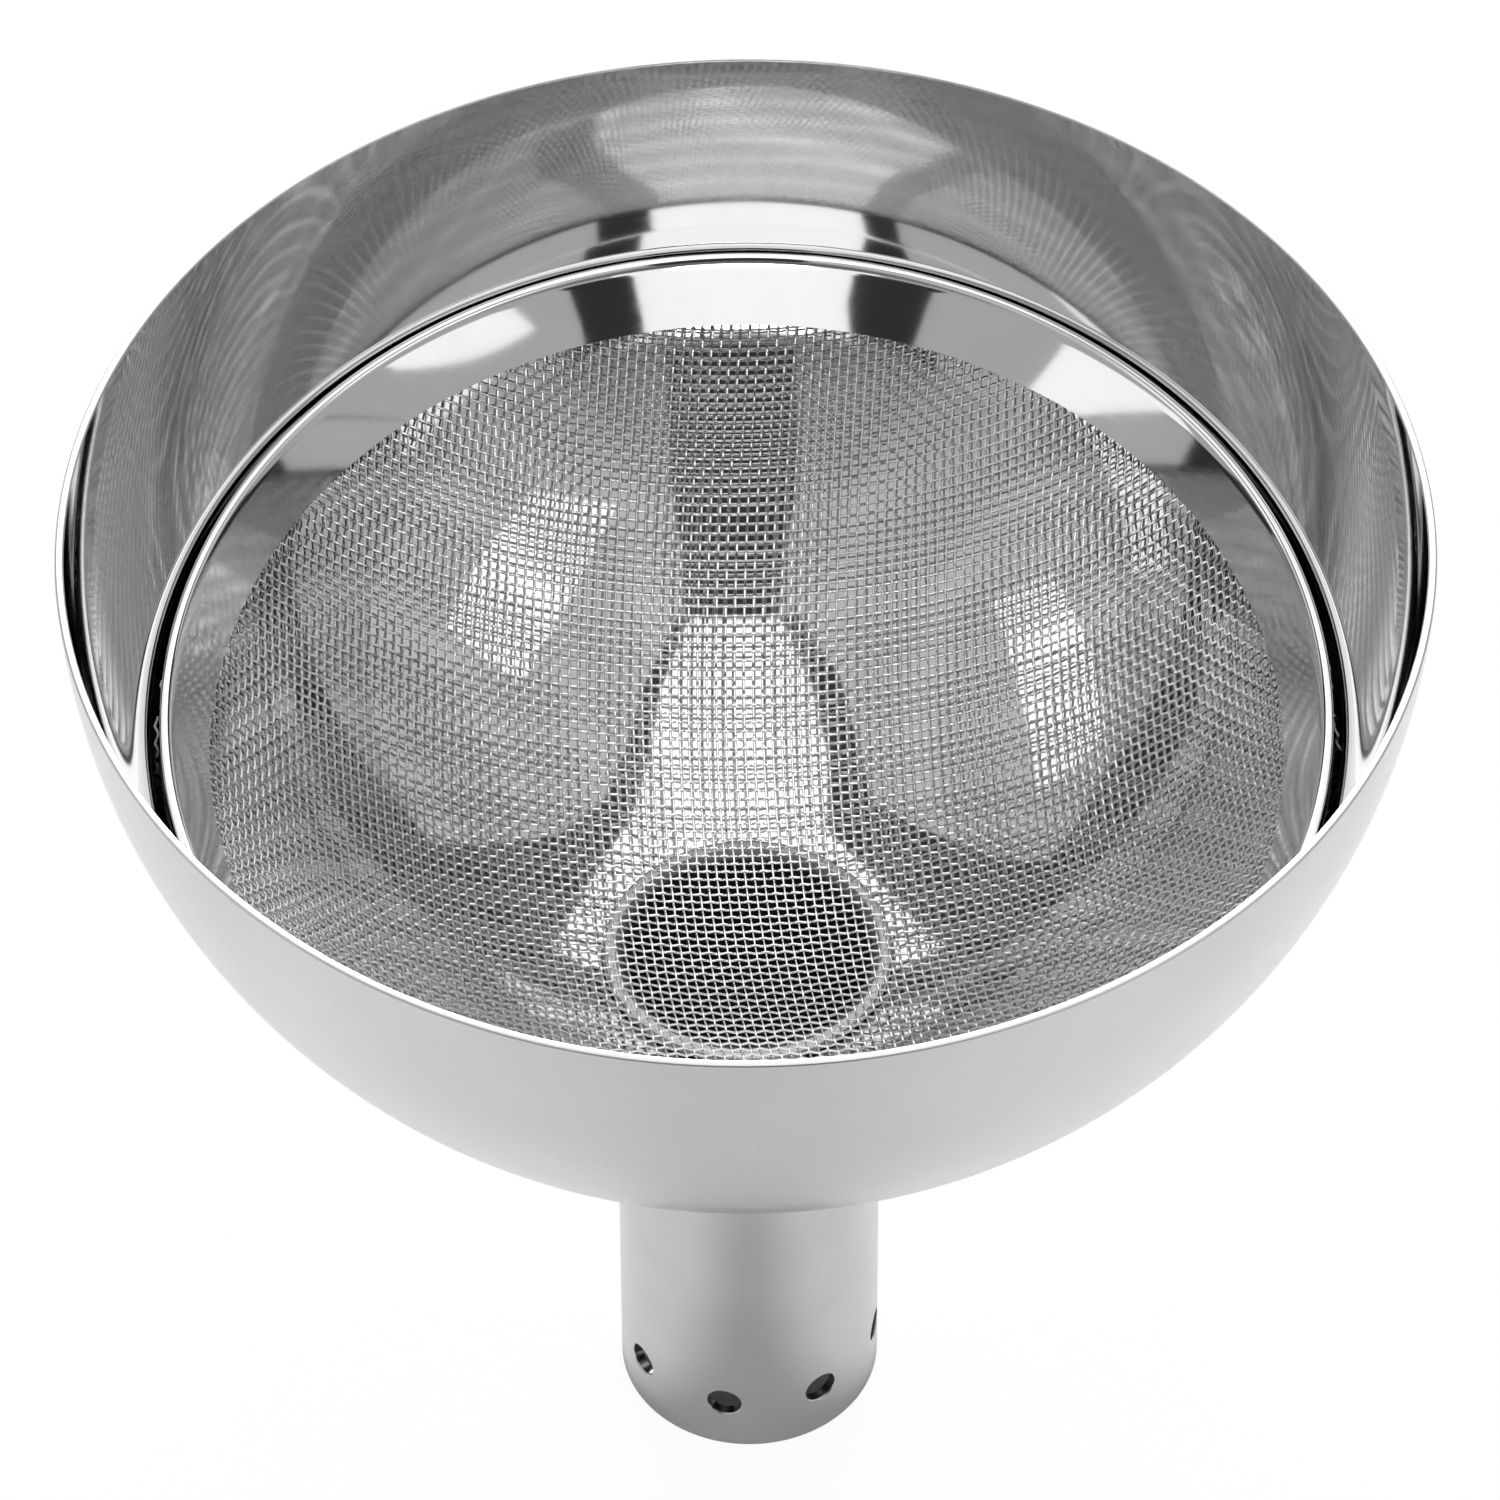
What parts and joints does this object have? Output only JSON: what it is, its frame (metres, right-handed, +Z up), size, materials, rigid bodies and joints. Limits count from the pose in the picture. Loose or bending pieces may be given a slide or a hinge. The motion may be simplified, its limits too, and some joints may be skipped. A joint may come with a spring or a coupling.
{
  "type": "decanting funnel",
  "caption": "Ball-shaped steel funnel with a straight closed-end spout that pours through side holes, and a dished wire strainer that lifts out of the bowl.",
  "frame": {"origin": "under the middle of the spout's closed end, which is the bottom of the bounding box", "axes": "+Z up the spout's axis to the open rim, -Y towards the low side of the strainer, +X to the right as seen from -Y"},
  "size_m": [0.1252, 0.1252, 0.117],
  "materials": {
    "bowl_steel": "stainless steel sheet, spun, polished inside and fine satin outside",
    "spout_steel": "stainless steel tube, fine satin",
    "cap_steel": "stainless steel disc, satin",
    "band_steel": "stainless steel strip, mirror polished",
    "mesh_wire": "woven stainless steel wire, bright drawn",
    "clamp_steel": "stainless steel strip, as rolled"
  },
  "bodies": {
    "funnel": {"bowl": "bowl_steel", "spout_tube": "spout_steel", "spout_end_cap": "cap_steel"},
    "strainer": {"strainer_band": "band_steel", "strainer_mesh": "mesh_wire", "strainer_clamp_ring": "clamp_steel"}
  },
  "joints": [
    {"name": "strainer_lift", "type": "slide", "parent": "funnel", "child": "strainer", "axis": [0, 0, 1], "range_m": [0, 0.06]}
  ]
}
